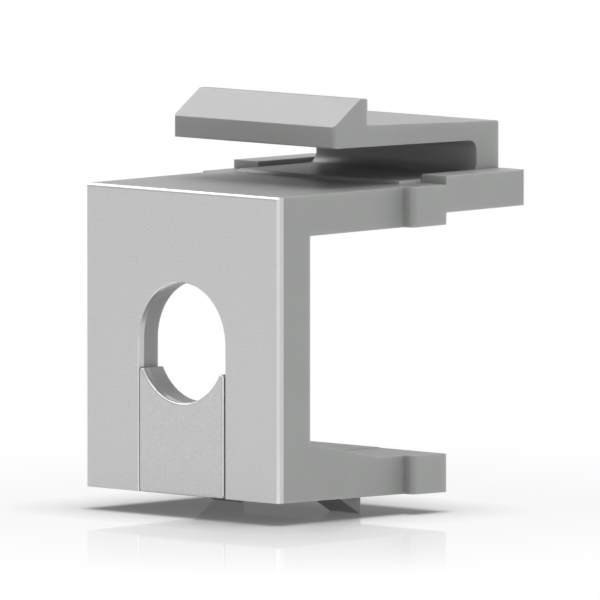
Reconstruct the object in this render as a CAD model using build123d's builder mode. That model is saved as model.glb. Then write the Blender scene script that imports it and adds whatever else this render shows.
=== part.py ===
from build123d import *
from math import radians, sqrt, tan
import os

# Keystone blank insert with a cable hole, in millimetres
# X runs across the face, Y goes back into the panel and Z is up
# The origin is where the axis of the cable hole meets the front face

# Front face
face_width = 14.5
face_height = 16.45
facing_thickness = 0.42
face_bevel = 0.12
slot_bevel = 0.05

# Cable hole, and the slot that runs from it down through the lower arm
hole_diameter = 6.5
slot_narrowing = 0.25
shoulder_drop = 1.54
shoulder_round = 0.18

# The tongue is a little narrower than its slot and stands a hair proud of it
tongue_clearance = 0.08
tongue_proud = 0.07
tongue_round = 0.15
stem_proud = 0.02

# Front wall and the rib that stiffens it along each side
front_wall = 1.5
rib_depth = 0.95
rib_width = 1.3
gusset_rise = 1.07
gusset_length = 5.2

# Arms behind the front wall, drawn a little wider towards the back
arm_thickness = 2.2
lower_arm_thickness = 2.06
total_depth = 18.35
side_draft = 0.6
top_draft = 0.25
inner_draft = 0.45
bottom_draft = 0.65

# Wings that stop behind the panel, and the thinner block behind the upper ones
wing_front = 9.63
wing_length = 2.6
wing_proud = 0.66
wing_round = 0.33
block_step = 0.65
rail_width = 1.84
rail_height = 0.47
pad_setback = 0.84
pad_height = 0.18
pad_bevel = 0.16

# Room for the panel's edge between the wings and the two catches
panel_room = 1.49

# Spring latch folded over the upper arm, with a wedge at its free end
latch_width = 12.08
post_thickness = 1.72
fold_gap = 2.04
fold_thickness = 0.97
nose_gap = 2.23
nose_height = 1.15
latch_thickness = 1.12
wedge_length = 2.03
wedge_rise = 1.42
ridge_flat = 0.58
fold_inner_fillet = 0.55
post_root_fillet = 0.6
nose_round = 0.2

# Hooks under the lower arm
hook_width = 2.26
hook_length = 1.97
hook_depth = 1.12

# Rounds in the inner corners and along the moulded edges
wall_root_fillet = 0.5
edge_round = 0.12
tip_round = 0.08

# Sizes that follow from those above
half_width = face_width / 2
half_height = face_height / 2
hole_radius = hole_diameter / 2
rib_back = front_wall + rib_depth
wing_back = wing_front + wing_length
catch_depth = wing_front - panel_room
pad_front = wing_front + pad_setback
upper_under = half_height + rib_back * tan(radians(top_draft)) - arm_thickness
lower_top = -half_height - rib_back * tan(radians(bottom_draft)) + lower_arm_thickness
outer_half = half_width + (wing_front - facing_thickness) * tan(radians(side_draft)) + wing_proud
tongue_half = hole_radius - tongue_clearance
slot_rear_half = hole_radius - slot_narrowing
shoulder_half = sqrt(hole_radius**2 - shoulder_drop**2)
beyond = 1.0


def drawn(start, slope, depth):
    return start + depth * tan(radians(slope))


def arm_top(depth):
    return drawn(half_height, top_draft, depth - facing_thickness)


def arm_under(depth):
    return drawn(upper_under, inner_draft, depth - rib_back)


def lower_arm_top(depth):
    return drawn(lower_top, -inner_draft, depth - rib_back)


def lower_arm_bottom(depth):
    return drawn(-half_height, -bottom_draft, depth - facing_thickness)


# The corners of an outline that lie at the given points
def corners_at(outline, *points):
    return [outline.vertices().sort_by_distance(point)[0] for point in points]


# Hole and slot as seen from the front, open at the bottom edge
def slot_shape(depth):
    with BuildSketch(Plane.XZ.offset(-depth)) as shape:
        Circle(hole_radius)
        with Locations((0, -half_height)):
            Rectangle(hole_diameter, face_height)
    return shape.sketch


# Front of the tongue: two shoulders beside a hollow that completes the hole
def tongue_shape(depth):
    with BuildSketch(Plane.XZ.offset(-depth)) as shape:
        with BuildLine():
            Polyline(
                (shoulder_half, -shoulder_drop),
                (tongue_half, -shoulder_drop),
                (tongue_half, -half_height),
                (-tongue_half, -half_height),
                (-tongue_half, -shoulder_drop),
                (-shoulder_half, -shoulder_drop),
            )
            ThreePointArc(
                (-shoulder_half, -shoulder_drop),
                (0, -hole_radius),
                (shoulder_half, -shoulder_drop),
            )
        make_face()
        outer_corners = shape.vertices().filter_by(lambda v: abs(v.X) > (shoulder_half + tongue_half) / 2)
        fillet(outer_corners, radius=shoulder_round)
    return shape.sketch


# Latch: a post at the back, folded forwards into a wedge that snaps behind the panel's edge
post_front = total_depth - post_thickness
foot_front = post_front - 2 * post_root_fillet
fold_under = arm_top(post_front) + fold_gap
nose_front = catch_depth - ridge_flat - wedge_length
nose_under = arm_top(nose_front) + nose_gap
ridge_top = nose_under + nose_height + wedge_rise
with BuildPart() as latch:
    with BuildSketch(Plane.YZ) as latch_view:
        with BuildLine():
            Polyline(
                (foot_front, arm_top(foot_front) + pad_height),
                (post_front, arm_top(post_front) + pad_height),
                (post_front, fold_under),
                (nose_front, nose_under),
                (nose_front, nose_under + nose_height),
                (catch_depth - ridge_flat, ridge_top),
                (catch_depth, ridge_top),
                (catch_depth, nose_under + latch_thickness),
                (total_depth, fold_under + fold_thickness),
                (total_depth, arm_top(foot_front)),
                (foot_front, arm_top(foot_front)),
                close=True,
            )
        make_face()
        fillet(corners_at(latch_view, (post_front, arm_top(post_front) + pad_height)), radius=post_root_fillet)
        fillet(corners_at(latch_view, (post_front, fold_under)), radius=fold_inner_fillet)
        latch_edges = corners_at(
            latch_view,
            (nose_front, nose_under),
            (catch_depth, ridge_top),
            (total_depth, fold_under + fold_thickness),
        )
        fillet(latch_edges, radius=edge_round)
        fine_edges = corners_at(
            latch_view,
            (nose_front, nose_under + nose_height),
            (catch_depth - ridge_flat, ridge_top),
            (catch_depth, nose_under + latch_thickness),
        )
        fillet(fine_edges, radius=tip_round)
    extrude(amount=latch_width / 2, both=True)
    # Seen from above, with the two corners of the blunt nose rounded
    with BuildSketch(Plane.XY) as latch_plan:
        with BuildLine():
            Polyline(
                (-latch_width / 2, nose_front),
                (latch_width / 2, nose_front),
                (latch_width / 2, total_depth),
                (-latch_width / 2, total_depth),
                close=True,
            )
        make_face()
        fillet(latch_plan.vertices().group_by(Axis.Y)[0], radius=nose_round)
    extrude(amount=2 * face_height, mode=Mode.INTERSECT)

# Low pad in front of the post, bevelled where it stands clear of the rails
pad_half = outer_half - rail_width
with BuildPart() as pad:
    with BuildSketch(Plane.YZ) as pad_view:
        with BuildLine():
            Polyline(
                (pad_front, arm_top(pad_front)),
                (pad_front, arm_top(pad_front) + pad_height),
                (wing_back, arm_top(wing_back) + pad_height),
                (wing_back, arm_top(wing_back)),
                close=True,
            )
        make_face()
    extrude(amount=pad_half, both=True)
    pad_rim = pad.faces().sort_by(Axis.Z)[-1].edges().sort_by(Axis.Y)[:-1]
    chamfer(pad_rim, length=pad_bevel)

# Grey moulding: front wall, both arms, wings, hooks and the folded latch in one piece
with BuildPart() as insert_body:
    # Front wall and arms, drawn from the side
    with BuildSketch(Plane.YZ) as side_view:
        with BuildLine():
            Polyline(
                (facing_thickness, arm_top(facing_thickness)),
                (facing_thickness, lower_arm_bottom(facing_thickness)),
                (wing_back, lower_arm_bottom(wing_back)),
                (wing_back, lower_arm_top(wing_back)),
                (front_wall, lower_arm_top(front_wall)),
                (front_wall, arm_under(front_wall)),
                (wing_back, arm_under(wing_back)),
                (wing_back, arm_under(wing_back) + block_step),
                (total_depth, arm_under(total_depth) + block_step),
                (total_depth, arm_top(total_depth)),
                close=True,
            )
        make_face()
        wall_roots = corners_at(
            side_view,
            (front_wall, lower_arm_top(front_wall)),
            (front_wall, arm_under(front_wall)),
        )
        fillet(wall_roots, radius=wall_root_fillet)
        arm_ends = corners_at(
            side_view,
            (wing_back, lower_arm_bottom(wing_back)),
            (wing_back, lower_arm_top(wing_back)),
            (wing_back, arm_under(wing_back)),
            (total_depth, arm_under(total_depth) + block_step),
        )
        fillet(arm_ends, radius=tip_round)
    extrude(amount=outer_half, both=True)

    # Ribs along both sides of the front wall, each running out on the lower arm
    with BuildSketch(Plane.YZ.offset(half_width - rib_width)) as rib_view:
        with BuildLine():
            Polyline(
                (front_wall, arm_under(front_wall)),
                (front_wall, lower_arm_top(front_wall)),
                (rib_back + gusset_length, lower_arm_top(rib_back + gusset_length)),
                (rib_back, lower_top + gusset_rise),
                (rib_back, arm_under(rib_back)),
                close=True,
            )
        make_face()
    rib = extrude(amount=rib_width + beyond)
    mirror(rib, about=Plane.YZ)

    # Rails on top of the rear block, with the pad running back between them
    with BuildSketch(Plane.YZ.offset(outer_half - rail_width)) as rail_view:
        with BuildLine():
            Polyline(
                (wing_back, arm_top(wing_back)),
                (wing_back, arm_top(wing_back) + rail_height),
                (total_depth, arm_top(wing_back) + rail_height),
                (total_depth, arm_top(total_depth)),
                close=True,
            )
        make_face()
    rail = extrude(amount=rail_width)
    mirror(rail, about=Plane.YZ)
    with BuildSketch(Plane.YZ) as rear_pad_view:
        with BuildLine():
            Polyline(
                (wing_back, arm_top(wing_back)),
                (wing_back, arm_top(wing_back) + pad_height),
                (total_depth, arm_top(total_depth) + pad_height),
                (total_depth, arm_top(total_depth)),
                close=True,
            )
        make_face()
    extrude(amount=pad_half, both=True)

    # Outline from above, which gives the sides their draft and the wings their step
    with BuildSketch(Plane.XY.offset(-face_height)) as plan_view:
        with BuildLine():
            Polyline(
                (0, facing_thickness),
                (half_width, facing_thickness),
                (outer_half - wing_proud, wing_front),
                (outer_half, wing_front),
                (outer_half, total_depth),
                (0, total_depth),
            )
            mirror(about=Plane.YZ)
        make_face()
        wing_corners = corners_at(plan_view, (outer_half, wing_front), (-outer_half, wing_front))
        fillet(wing_corners, radius=wing_round)
        block_corners = corners_at(plan_view, (outer_half, total_depth), (-outer_half, total_depth))
        fillet(block_corners, radius=edge_round)
    extrude(amount=2 * face_height, mode=Mode.INTERSECT)

    # Slot through the front wall and, narrowing a little, through the lower arm
    extrude(slot_shape(facing_thickness), amount=facing_thickness - front_wall, mode=Mode.SUBTRACT)
    with BuildSketch(Plane.XY.offset(-face_height)):
        with BuildLine():
            Polyline(
                (-hole_radius, front_wall),
                (hole_radius, front_wall),
                (slot_rear_half, wing_back),
                (slot_rear_half, wing_back + beyond),
                (-slot_rear_half, wing_back + beyond),
                (-slot_rear_half, wing_back),
                close=True,
            )
        make_face()
    extrude(amount=face_height + lower_top + gusset_rise, mode=Mode.SUBTRACT)

    # The pad, and the latch that grows out of its rear edge
    add(pad.part)
    add(latch.part)

    # Hooks beside the slot, sloped in front and upright behind
    hook_front = catch_depth - hook_length
    with BuildSketch(Plane.YZ.offset(hole_radius)) as hook_view:
        with BuildLine():
            Polyline(
                (hook_front, lower_arm_bottom(hook_front)),
                (catch_depth, lower_arm_bottom(catch_depth) - hook_depth),
                (catch_depth, lower_arm_bottom(catch_depth) + tip_round),
                (hook_front, lower_arm_bottom(hook_front) + tip_round),
                close=True,
            )
        make_face()
    hook = extrude(amount=hook_width)
    mirror(hook, about=Plane.YZ)

# Silver facing on the front wall
with BuildPart() as front_facing:
    with BuildSketch(Plane.XZ):
        Rectangle(face_width, face_height)
    extrude(amount=-facing_thickness)
    # Bevelled along the top and both sides, and left square along the bottom
    front_edges = front_facing.edges().group_by(Axis.Y)[0]
    chamfer(front_edges.sort_by(Axis.Z)[1:], length=face_bevel)
    extrude(slot_shape(0), amount=-facing_thickness, mode=Mode.SUBTRACT)
    slot_edges = front_facing.edges().group_by(Axis.Y)[0].filter_by(
        lambda e: abs(e.center().X) <= hole_radius + tip_round and e.center().Z > tip_round - half_height
    )
    chamfer(slot_edges, length=slot_bevel)

# Tongue that closes the slot, with its stem lying in the lower arm
with BuildPart() as cable_tongue:
    extrude(tongue_shape(facing_thickness), amount=facing_thickness - front_wall)
    with BuildSketch(Plane.YZ) as stem_view:
        with BuildLine():
            Polyline(
                (facing_thickness, lower_arm_bottom(facing_thickness)),
                (wing_back, lower_arm_bottom(wing_back)),
                (wing_back, lower_arm_top(wing_back) + stem_proud),
                (facing_thickness, lower_arm_top(facing_thickness) + stem_proud),
                close=True,
            )
        make_face()
    extrude(amount=tongue_half, both=True)
    with BuildSketch(Plane.XY.offset(-face_height)):
        with BuildLine():
            Polyline(
                (tongue_half, facing_thickness),
                (tongue_half, front_wall),
                (slot_rear_half, wing_back),
                (-slot_rear_half, wing_back),
                (-tongue_half, front_wall),
                (-tongue_half, facing_thickness),
                close=True,
            )
        make_face()
    extrude(amount=2 * face_height, mode=Mode.INTERSECT)

# Silver facing on the tongue
with BuildPart() as tongue_facing:
    extrude(tongue_shape(-tongue_proud), amount=-facing_thickness - tongue_proud)
    # Rounded everywhere in front but along the bottom
    tongue_edges = tongue_facing.edges().group_by(Axis.Y)[0]
    fillet(tongue_edges.sort_by(Axis.Z)[1:], radius=tongue_round)

pieces = {
    "insert_body": insert_body,
    "front_facing": front_facing,
    "cable_tongue": cable_tongue,
    "tongue_facing": tongue_facing,
}

os.makedirs("parts", exist_ok=True)
for name, piece in pieces.items():
    piece.part.label = name
    export_step(piece.part, f"parts/{name}.step")
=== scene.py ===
import math

import bmesh
import bpy
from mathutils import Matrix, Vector


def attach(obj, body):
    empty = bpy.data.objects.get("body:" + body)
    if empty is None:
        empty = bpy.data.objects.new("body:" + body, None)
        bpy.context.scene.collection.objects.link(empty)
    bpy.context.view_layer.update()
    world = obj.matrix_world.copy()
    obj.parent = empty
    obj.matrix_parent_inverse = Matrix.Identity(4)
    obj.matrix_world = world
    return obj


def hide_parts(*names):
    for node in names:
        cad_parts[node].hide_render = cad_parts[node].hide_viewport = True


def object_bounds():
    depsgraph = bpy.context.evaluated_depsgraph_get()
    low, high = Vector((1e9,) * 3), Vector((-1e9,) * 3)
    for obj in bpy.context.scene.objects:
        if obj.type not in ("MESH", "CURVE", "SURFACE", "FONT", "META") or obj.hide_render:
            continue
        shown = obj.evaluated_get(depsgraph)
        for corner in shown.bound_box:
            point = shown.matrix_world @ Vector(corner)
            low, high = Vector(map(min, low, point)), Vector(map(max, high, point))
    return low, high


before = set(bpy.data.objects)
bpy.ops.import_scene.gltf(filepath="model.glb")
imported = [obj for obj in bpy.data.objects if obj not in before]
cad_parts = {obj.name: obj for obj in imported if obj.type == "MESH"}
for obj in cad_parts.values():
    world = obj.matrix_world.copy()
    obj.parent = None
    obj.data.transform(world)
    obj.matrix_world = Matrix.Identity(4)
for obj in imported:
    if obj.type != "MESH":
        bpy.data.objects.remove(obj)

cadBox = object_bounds()
print("frame loaded with", ", ".join(sorted(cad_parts)))
mm = 0.001

cameraSettings = {
    "azimuth": 44.48,           # degrees round from straight in front
    "elevation": 5.049,         # degrees above the level
    "distance": 1.20327,        # metres from the cable hole
    "lens": 1342.5,             # mm, so long that there is almost no perspective
    "sensor": 36,
    "clip": (0.01, 20),         # metres
    "aimRight": 6.371 * mm,     # where the camera points, measured across and up from the cable hole
    "aimUp": 2.302 * mm,
}


def addCamera():
    s = cameraSettings
    turn = math.radians(s["azimuth"])
    rise = math.radians(s["elevation"])
    back = Vector((math.sin(turn) * math.cos(rise), -math.cos(turn) * math.cos(rise), math.sin(rise)))
    right = Vector((math.cos(turn), math.sin(turn), 0))
    up = back.cross(right)
    spot = back * s["distance"]
    aim = right * s["aimRight"] + up * s["aimUp"]
    data = bpy.data.cameras.new("photoCamera")
    data.lens = s["lens"]
    data.sensor_width = s["sensor"]
    data.clip_start, data.clip_end = s["clip"]
    camera = bpy.data.objects.new("photoCamera", data)
    bpy.context.scene.collection.objects.link(camera)
    camera.location = spot
    camera.rotation_euler = (aim - spot).to_track_quat("-Z", "Y").to_euler()
    bpy.context.scene.camera = camera


addCamera()
print("camera placed")


# The emptied node tree of a material or the world, and a new output in it
def startTree(owner, outputKind):
    owner.use_nodes = True
    tree = owner.node_tree
    tree.nodes.clear()
    return tree, tree.nodes.new(outputKind).inputs["Surface"]


def startMaterial(name):
    material = bpy.data.materials.new(name)
    tree, surface = startTree(material, "ShaderNodeOutputMaterial")
    shader = tree.nodes.new("ShaderNodeBsdfPrincipled")
    tree.links.new(shader.outputs["BSDF"], surface)
    return material, tree, shader


# Where a shading point is, in the CAD frame
def addPlace(tree):
    return tree.nodes.new("ShaderNodeTexCoord").outputs["Object"]


def addNoise(tree, place, s):
    noise = tree.nodes.new("ShaderNodeTexNoise")
    noise.inputs["Scale"].default_value = s["scale"]
    noise.inputs["Detail"].default_value = s["detail"]
    noise.inputs["Roughness"].default_value = s["roughness"]
    tree.links.new(place, noise.inputs["Vector"])
    return noise.outputs["Fac"]


def addRange(tree, source, low, high, toLow, toHigh):
    span = tree.nodes.new("ShaderNodeMapRange")
    span.inputs["From Min"].default_value = low
    span.inputs["From Max"].default_value = high
    span.inputs["To Min"].default_value = toLow
    span.inputs["To Max"].default_value = toHigh
    tree.links.new(source, span.inputs["Value"])
    return span.outputs["Result"]


noiseSpan = (0.3, 0.7)          # most of a noise lies between these


# A colour that grows darker and lighter with a noise, by as much as swing either way
def addDrift(tree, noise, colour, swing):
    ramp = tree.nodes.new("ShaderNodeValToRGB")
    for point, at, factor in zip(ramp.color_ramp.elements, noiseSpan, (1 - swing, 1 + swing)):
        point.position = at
        point.color = (*(share * factor for share in colour), 1)
    tree.links.new(noise, ramp.inputs["Fac"])
    return ramp.outputs["Color"]


def addBump(tree, height, strength, distance):
    bump = tree.nodes.new("ShaderNodeBump")
    bump.inputs["Strength"].default_value = strength
    bump.inputs["Distance"].default_value = distance
    tree.links.new(height, bump.inputs["Height"])
    return bump.outputs["Normal"]


# Grey moulding: satin plastic with a fine spark-eroded grain and faint clouding
mouldingSettings = {
    "colour": (0.303, 0.311, 0.303),
    "clouding": 0.025,          # how far the colour drifts either way
    "clouds": {"scale": 420, "detail": 3, "roughness": 0.55},           # scale is clouds in a metre
    "grain": {"scale": 1000 / 0.11, "detail": 2, "roughness": 0.6},     # about 0.11 mm apart
    "grainDepth": 0.0016 * mm,
    "grainStrength": 0.6,
    "roughness": 0.42,
    "roughnessDrift": 0.03,     # how far the roughness follows the grain either way
    "ior": 1.5,
    "spread": 0.35,             # share of the light that spreads inside the plastic
    "spreadReach": 0.8 * mm,
}


def makeMoulding():
    s = mouldingSettings
    material, tree, shader = startMaterial("greyMoulding")
    place = addPlace(tree)
    cloud = addNoise(tree, place, s["clouds"])
    tree.links.new(addDrift(tree, cloud, s["colour"], s["clouding"]), shader.inputs["Base Color"])
    grain = addNoise(tree, place, s["grain"])
    smooth = s["roughness"] - s["roughnessDrift"]
    rough = s["roughness"] + s["roughnessDrift"]
    tree.links.new(addRange(tree, grain, *noiseSpan, smooth, rough), shader.inputs["Roughness"])
    tree.links.new(addBump(tree, grain, s["grainStrength"], s["grainDepth"]), shader.inputs["Normal"])
    shader.inputs["IOR"].default_value = s["ior"]
    shader.inputs["Subsurface Weight"].default_value = s["spread"]
    shader.inputs["Subsurface Radius"].default_value = (1, 1, 1)
    shader.inputs["Subsurface Scale"].default_value = s["spreadReach"]
    return material


# Silver facing: matt metallic lacquer, finely speckled on the fronts and smoother on their bevels and edges
facingSettings = {
    "front": {"colour": (0.615, 0.613, 0.615), "roughness": 0.42, "speckle": 0.11, "relief": 0.0012 * mm},
    "edge": {"colour": (0.54, 0.54, 0.54), "roughness": 0.28, "speckle": 0.01, "relief": 0},
    "flakes": {"scale": 1000 / 0.09, "detail": 3, "roughness": 0.7},    # about 0.09 mm apart
    "flakeStrength": 0.5,
    "metallic": 0.75,
    "frontAhead": 0.98,         # a face that looks less straight ahead than this has the edge finish
}


def makeFacing(name, s):
    material, tree, shader = startMaterial(name)
    flake = addNoise(tree, addPlace(tree), facingSettings["flakes"])
    tree.links.new(addDrift(tree, flake, s["colour"], s["speckle"]), shader.inputs["Base Color"])
    smooth = s["roughness"] - s["speckle"] / 2
    rough = s["roughness"] + s["speckle"] / 2
    tree.links.new(addRange(tree, flake, *noiseSpan, rough, smooth), shader.inputs["Roughness"])
    if s["relief"] > 0:
        bump = addBump(tree, flake, facingSettings["flakeStrength"], s["relief"])
        tree.links.new(bump, shader.inputs["Normal"])
    shader.inputs["Metallic"].default_value = facingSettings["metallic"]
    return material


greyMoulding = makeMoulding()
silverFacing = makeFacing("silverFacing", facingSettings["front"])
silverEdge = makeFacing("silverEdge", facingSettings["edge"])
print("materials made")

# The hole's arcs come as short straight runs, which are cut in halves.
# The new corners are then set on the true arcs.
arcSettings = {
    "halvings": 2,
    "farthest": 3.6 * mm,       # an arc's corners are nearer to the hole's axis than this
    "widest": 0.8 * mm,         # and its runs are shorter than this
    "level": 0.002 * mm,        # the ends of a run are equally far from the axis, within this
}


def followsArc(edge):
    s = arcSettings
    first, last = [end.co for end in edge.verts]
    radii = (math.hypot(first.x, first.z), math.hypot(last.x, last.z))
    across = math.hypot(first.x - last.x, first.z - last.z)
    return max(radii) < s["farthest"] and max(radii) - min(radii) < s["level"] < across < s["widest"]


def roundArcs(mesh):
    radius = mesh.verts.layers.float.new("holeRadius")
    for halving in range(arcSettings["halvings"]):
        for corner in mesh.verts:
            corner[radius] = math.hypot(corner.co.x, corner.co.z)
        runs = [edge for edge in mesh.edges if followsArc(edge)]
        made = bmesh.ops.subdivide_edges(mesh, edges=runs, cuts=1, use_grid_fill=True)["geom_inner"]
        for corner in [item for item in made if isinstance(item, bmesh.types.BMVert)]:
            reach = corner[radius] / math.hypot(corner.co.x, corner.co.z)
            corner.co.x *= reach
            corner.co.z *= reach
    mesh.verts.layers.float.remove(radius)


# Bends sharper than crispAngle, in degrees, stay crisp.
# A higher flatShare shades wide faces flatter beside the softer bends.
pieceSettings = {
    "insert_body": {
        "name": "greyMoulding", "material": greyMoulding, "slot": "grey_moulding",
        "crispAngle": 30, "flatShare": 100,
    },
    "cable_tongue": {
        "name": "stem", "material": greyMoulding, "slot": "grey_moulding",
        "crispAngle": 30, "flatShare": 100,
    },
    "front_facing": {
        "name": "frontFacing", "material": silverFacing, "slot": "silver_facing",
        "crispAngle": 30, "flatShare": 50,
    },
    "tongue_facing": {
        "name": "tongueFacing", "material": silverFacing, "slot": "silver_facing",
        "crispAngle": 60, "flatShare": 50,
    },
}
cleaningSettings = {
    "sameSpot": 0.0005 * mm,    # corners nearer than this are one corner
    "flatAngle": 0.6,           # degrees, faces that meet flatter than this are one face
}


# A copy of a CAD node in its material, with its flat faces made whole and its small rounds shaded evenly
def dress(node, s):
    mesh = bmesh.new()
    mesh.from_mesh(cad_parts[node].data)
    bmesh.ops.remove_doubles(mesh, verts=mesh.verts, dist=cleaningSettings["sameSpot"])
    flat = math.radians(cleaningSettings["flatAngle"])
    bmesh.ops.dissolve_limit(mesh, angle_limit=flat, verts=mesh.verts, edges=mesh.edges)
    roundArcs(mesh)
    crisp = math.radians(s["crispAngle"])
    for edge in mesh.edges:
        edge.smooth = edge.calc_face_angle(0.0) <= crisp
    for face in mesh.faces:
        face.smooth = True
    data = bpy.data.meshes.new(s["name"])
    mesh.to_mesh(data)
    mesh.free()
    data.materials.append(s["material"])
    if s["material"] == silverFacing:
        data.materials.append(silverEdge)
        for face in data.polygons:
            if -face.normal.y < facingSettings["frontAhead"]:
                face.material_index = 1
    piece = bpy.data.objects.new(s["name"], data)
    bpy.context.scene.collection.objects.link(piece)
    normals = piece.modifiers.new("evenShading", "WEIGHTED_NORMAL")
    normals.keep_sharp = True
    normals.weight = s["flatShare"]
    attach(piece, "root")
    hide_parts(node)


for node, s in pieceSettings.items():
    dress(node, s)
print("pieces dressed")


def addMath(tree, operation, first, second):
    node = tree.nodes.new("ShaderNodeMath")
    node.operation = operation
    tree.links.new(first, node.inputs[0])
    tree.links.new(second, node.inputs[1])
    return node.outputs[0]


def addVectorMath(tree, operation, source, fixed=None):
    node = tree.nodes.new("ShaderNodeVectorMath")
    node.operation = operation
    tree.links.new(source, node.inputs[0])
    if fixed:
        node.inputs[1].default_value = fixed
    return node.outputs


def addMix(tree, factor, first, second):
    mix = tree.nodes.new("ShaderNodeMixShader")
    tree.links.new(factor, mix.inputs[0])
    tree.links.new(first, mix.inputs[1])
    tree.links.new(second, mix.inputs[2])
    return mix.outputs[0]


floorSettings = {
    "size": 6.0,                            # metres
    "colour": 0.95,
    "gloss": 0.345,
    "glossRoughness": 0.03,
    "shadowFade": (1.2 * mm, 6 * mm),       # the floor turns to white glow between these distances from the arm, a painted fade of its shadow
    "frontShift": 0.8 * mm,                 # and that much sooner in front
    "reflectionFade": (2 * mm, 26 * mm),    # between these the faint mirror image ends
    "paintedShadowColour": 0.27,                    # painted shadow: under the lower arm and wings the floor's colour is darker
    "paintedUnderGlow": 0.11,                      # painted light: the floor glows a little there, so that shade is never black
    "underGloss": 0.04,
    "underInset": 0.45 * mm,                # the painted shadow, painted glow and weaker mirror start this far inside their outline
    "underFade": 1.1 * mm,                  # and end in this width
    "wingDepth": 0.4 * mm,                  # corners this near to the insert's full width are a wing's
}


# How far a point of the floor lies outside a box seen from above
def addReach(tree, low, high):
    middle = ((low.x + high.x) / 2, (low.y + high.y) / 2, cadBox[0].z)
    half = ((high.x - low.x) / 2, (high.y - low.y) / 2, 0)
    shifted = addVectorMath(tree, "SUBTRACT", addPlace(tree), middle)["Vector"]
    folded = addVectorMath(tree, "ABSOLUTE", shifted)["Vector"]
    past = addVectorMath(tree, "SUBTRACT", folded, half)["Vector"]
    outside = addVectorMath(tree, "MAXIMUM", past, (0, 0, 0))["Vector"]
    return addVectorMath(tree, "LENGTH", outside)["Value"]


# The part of the floor that some of the insert's corners cover, a little inside their outline
def coveredBox(corners):
    inset = floorSettings["underInset"]
    low = Vector((min(c.x for c in corners) + inset, min(c.y for c in corners) + inset, cadBox[0].z))
    high = Vector((max(c.x for c in corners) - inset, max(c.y for c in corners) - inset, cadBox[0].z))
    return low, high


def lowerArmBox():
    nodes = [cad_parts[name] for name in ("front_facing", "cable_tongue")]
    return coveredBox([corner.co for node in nodes for corner in node.data.vertices])


# The lower wings are the only corners below the hole that reach so far out
def lowerWingBox():
    reach = cadBox[1].x - floorSettings["wingDepth"]
    corners = [corner.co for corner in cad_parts["insert_body"].data.vertices]
    return coveredBox([c for c in corners if c.z < 0 and abs(c.x) > reach])


# A pale floor with a faint mirror image, a painted shadow under the lower arm and wings, and painted glow
# that lifts and ends that shadow
def makeFloorMaterial():
    s = floorSettings
    material = bpy.data.materials.new("paleFloor")
    tree, surface = startTree(material, "ShaderNodeOutputMaterial")
    matt = tree.nodes.new("ShaderNodeBsdfDiffuse")
    gloss = tree.nodes.new("ShaderNodeBsdfGlossy")
    gloss.inputs["Color"].default_value = (1, 1, 1, 1)
    gloss.inputs["Roughness"].default_value = s["glossRoughness"]
    white = tree.nodes.new("ShaderNodeEmission")
    armLow, armHigh = lowerArmBox()
    under = addMath(tree, "MINIMUM", addReach(tree, armLow, armHigh), addReach(tree, *lowerWingBox()))
    # Painted shadow: the matt floor is darker in colour under the lower arm and wings
    paintedShadowTone = addRange(tree, under, 0, s["underFade"], s["paintedShadowColour"], s["colour"])
    tree.links.new(paintedShadowTone, matt.inputs["Color"])
    # Painted light: away from the arm the floor glows white over its shade, so the shadow fades out; far
    # off it is an evenly white floor
    away = addReach(tree, armLow + Vector((0, s["frontShift"], 0)), armHigh)
    far = addRange(tree, away, *s["shadowFade"], 0, 1)
    # Painted light: under the lower arm and wings the floor glows faintly, lifting the shade
    paintedGlow = addRange(tree, under, 0, s["underFade"], s["paintedUnderGlow"], 0)
    ground = addMix(tree, addMath(tree, "MAXIMUM", far, paintedGlow), matt.outputs[0], white.outputs[0])
    openMirror = addRange(tree, addReach(tree, *cadBox), *s["reflectionFade"], s["gloss"], 0)
    underMirror = addRange(tree, under, 0, s["underFade"], s["underGloss"], s["gloss"])
    mirror = addMath(tree, "MINIMUM", openMirror, underMirror)
    tree.links.new(addMix(tree, mirror, ground, gloss.outputs[0]), surface)
    return material


def addFloor():
    low = cadBox[0].z
    half = floorSettings["size"] / 2
    mesh = bmesh.new()
    corners = [mesh.verts.new((x * half, y * half, low)) for x, y in ((-1, -1), (1, -1), (1, 1), (-1, 1))]
    mesh.faces.new(corners)
    data = bpy.data.meshes.new("floor")
    mesh.to_mesh(data)
    mesh.free()
    data.materials.append(makeFloorMaterial())
    floor = bpy.data.objects.new("floor", data)
    bpy.context.scene.collection.objects.link(floor)


addFloor()
print("floor laid")

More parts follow.
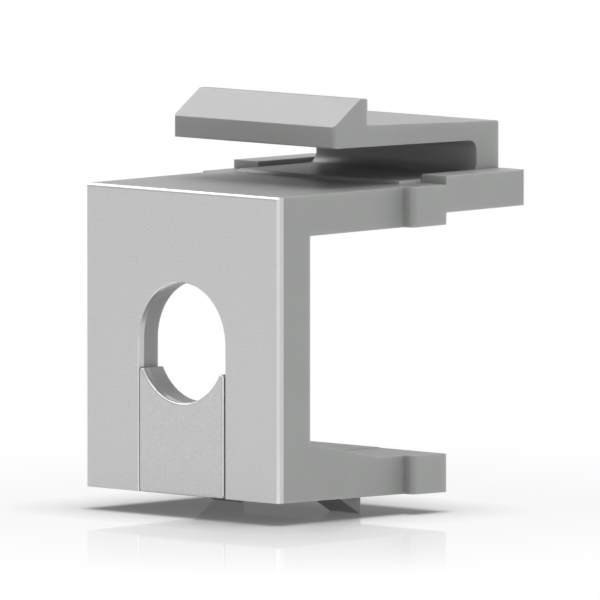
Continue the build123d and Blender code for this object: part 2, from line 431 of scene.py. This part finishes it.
# Square lamps, with places and sizes in metres and power in watts. A card only shows in reflections
lampSettings = {
    "ceiling": {"spot": (0.0, 0.01, 1.0), "size": 0.8, "power": 5.0},
    "leftCard": {"spot": (-0.85, 0.06, 0.85), "size": 0.8, "power": 9.0, "card": True},
    "left": {"spot": (-1.2, -0.2, 0.35), "size": 1.0, "power": 0.6},
    "behind": {"spot": (0.0, 0.9, 0.8), "size": 1.4, "power": 5.8},
    "behindLow": {"spot": (0.3, 1.15, 0.15), "size": 0.8, "power": 9.6},
    "right": {"spot": (1.2, -0.15, 0.1), "size": 0.7, "power": 2.3},
    "rightHigh": {"spot": (0.8, 0.25, 0.8), "size": 0.8, "power": 1.0},
    "front": {"spot": (0.0, -0.85, 0.75), "size": 1.4, "power": 4.8},
    "frontRight": {"spot": (0.85, -0.85, 0.1), "size": 0.5, "power": 1.6},
}
lampAim = Vector((0, 0.009, 0))     # the middle of the insert's depth


def addLamps():
    for name, s in lampSettings.items():
        data = bpy.data.lights.new(name, "AREA")
        data.shape = "SQUARE"
        data.size = s["size"]
        data.energy = s["power"]
        lamp = bpy.data.objects.new(name, data)
        bpy.context.scene.collection.objects.link(lamp)
        lamp.location = s["spot"]
        lamp.visible_diffuse = not s.get("card", False)
        lamp.rotation_euler = (lampAim - lamp.location).to_track_quat("-Z", "Y").to_euler()


roomSettings = {
    "light": 0.01,                      # how strongly the room lights the insert
    "darkSide": (-0.23, -0.93, 0.28),   # the dark part of the room that shows in polished edges
    "darkSpan": (0.80, 0.95),           # cosines off its middle, where it begins and where it is darkest
    "darkLevel": 0.12,
    "whiteLevel": 0.8,                  # and how bright the rest of the room shows there
}


# The room looks plain white, has a dark part in reflections, and gives next to no light of its own
def addWorld():
    s = roomSettings
    world = bpy.data.worlds.new("studio")
    bpy.context.scene.world = world
    tree, surface = startTree(world, "ShaderNodeOutputWorld")
    light = tree.nodes.new("ShaderNodeBackground")
    light.inputs["Strength"].default_value = s["light"]
    backdrop = tree.nodes.new("ShaderNodeBackground")
    backdrop.inputs["Color"].default_value = (1, 1, 1, 1)
    direction = tree.nodes.new("ShaderNodeTexCoord").outputs["Generated"]
    aim = addVectorMath(tree, "DOT_PRODUCT", direction, s["darkSide"])["Value"]
    level = addRange(tree, aim, *s["darkSpan"], s["whiteLevel"], s["darkLevel"])
    path = tree.nodes.new("ShaderNodeLightPath").outputs
    plain = addMath(tree, "MAXIMUM", path["Is Camera Ray"], path["Is Transmission Ray"])
    tree.links.new(addMath(tree, "MAXIMUM", level, plain), backdrop.inputs["Strength"])
    seen = addMath(tree, "MAXIMUM", plain, path["Is Glossy Ray"])
    tree.links.new(addMix(tree, seen, light.outputs[0], backdrop.outputs[0]), surface)


addLamps()
addWorld()
bpy.context.scene.view_settings.view_transform = "Standard"
print("lamps and backdrop set")
